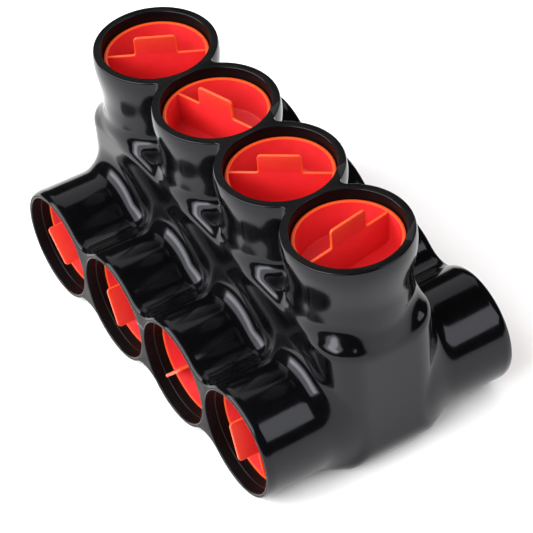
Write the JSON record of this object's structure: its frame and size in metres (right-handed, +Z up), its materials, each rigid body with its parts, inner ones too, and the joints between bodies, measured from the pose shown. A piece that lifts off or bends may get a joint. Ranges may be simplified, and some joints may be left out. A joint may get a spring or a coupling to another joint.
{
  "type": "insulated multi-tap connector",
  "caption": "Insulated connector that joins several large wires: a bored aluminium block in a soft moulded cover, with clamping screws and pull-out plugs.",
  "frame": {"origin": "middle of the footprint, on the surface that the connector stands on", "axes": "+X along the row of ports, the front wire ports open towards -Y, +Z is up, towards the screw ports"},
  "size_m": [0.111, 0.0662, 0.0623],
  "materials": {
    "cover": "glossy soft moulding",
    "block": "machined, tin plated",
    "screw": "machined",
    "plug": "semi-gloss, slightly translucent"
  },
  "bodies": {
    "connector": {"insulating_cover": "cover", "connector_block": "block"},
    "set_screw_1": {"set_screw_1": "screw"},
    "set_screw_2": {"set_screw_2": "screw"},
    "set_screw_3": {"set_screw_3": "screw"},
    "set_screw_4": {"set_screw_4": "screw"},
    "screw_plug_1": {"screw_plug_1": "plug"},
    "screw_plug_2": {"screw_plug_2": "plug"},
    "screw_plug_3": {"screw_plug_3": "plug"},
    "screw_plug_4": {"screw_plug_4": "plug"},
    "front_wire_plug_1": {"front_wire_plug_1": "plug"},
    "front_wire_plug_2": {"front_wire_plug_2": "plug"},
    "front_wire_plug_3": {"front_wire_plug_3": "plug"},
    "front_wire_plug_4": {"front_wire_plug_4": "plug"},
    "back_wire_plug_1": {"back_wire_plug_1": "plug"},
    "back_wire_plug_2": {"back_wire_plug_2": "plug"},
    "back_wire_plug_3": {"back_wire_plug_3": "plug"},
    "back_wire_plug_4": {"back_wire_plug_4": "plug"}
  },
  "joints": [
    {"name": "set_screw_1_advance", "type": "slide", "parent": "connector", "child": "set_screw_1", "axis": [0, 0, 1], "range_m": [-0.013, 0]},
    {"name": "set_screw_2_advance", "type": "slide", "parent": "connector", "child": "set_screw_2", "axis": [0, 0, 1], "range_m": [-0.013, 0]},
    {"name": "set_screw_3_advance", "type": "slide", "parent": "connector", "child": "set_screw_3", "axis": [0, 0, 1], "range_m": [-0.013, 0]},
    {"name": "set_screw_4_advance", "type": "slide", "parent": "connector", "child": "set_screw_4", "axis": [0, 0, 1], "range_m": [-0.013, 0]},
    {"name": "screw_plug_1_pull", "type": "slide", "parent": "connector", "child": "screw_plug_1", "axis": [0, 0, 1], "range_m": [0, 0.025]},
    {"name": "screw_plug_2_pull", "type": "slide", "parent": "connector", "child": "screw_plug_2", "axis": [0, 0, 1], "range_m": [0, 0.025]},
    {"name": "screw_plug_3_pull", "type": "slide", "parent": "connector", "child": "screw_plug_3", "axis": [0, 0, 1], "range_m": [0, 0.025]},
    {"name": "screw_plug_4_pull", "type": "slide", "parent": "connector", "child": "screw_plug_4", "axis": [0, 0, 1], "range_m": [0, 0.025]},
    {"name": "front_wire_plug_1_pull", "type": "slide", "parent": "connector", "child": "front_wire_plug_1", "axis": [0, -1, 0], "range_m": [0, 0.025]},
    {"name": "front_wire_plug_2_pull", "type": "slide", "parent": "connector", "child": "front_wire_plug_2", "axis": [0, -1, 0], "range_m": [0, 0.025]},
    {"name": "front_wire_plug_3_pull", "type": "slide", "parent": "connector", "child": "front_wire_plug_3", "axis": [0, -1, 0], "range_m": [0, 0.025]},
    {"name": "front_wire_plug_4_pull", "type": "slide", "parent": "connector", "child": "front_wire_plug_4", "axis": [0, -1, 0], "range_m": [0, 0.025]},
    {"name": "back_wire_plug_1_pull", "type": "slide", "parent": "connector", "child": "back_wire_plug_1", "axis": [0, 1, 0], "range_m": [0, 0.025]},
    {"name": "back_wire_plug_2_pull", "type": "slide", "parent": "connector", "child": "back_wire_plug_2", "axis": [0, 1, 0], "range_m": [0, 0.025]},
    {"name": "back_wire_plug_3_pull", "type": "slide", "parent": "connector", "child": "back_wire_plug_3", "axis": [0, 1, 0], "range_m": [0, 0.025]},
    {"name": "back_wire_plug_4_pull", "type": "slide", "parent": "connector", "child": "back_wire_plug_4", "axis": [0, 1, 0], "range_m": [0, 0.025]}
  ]
}
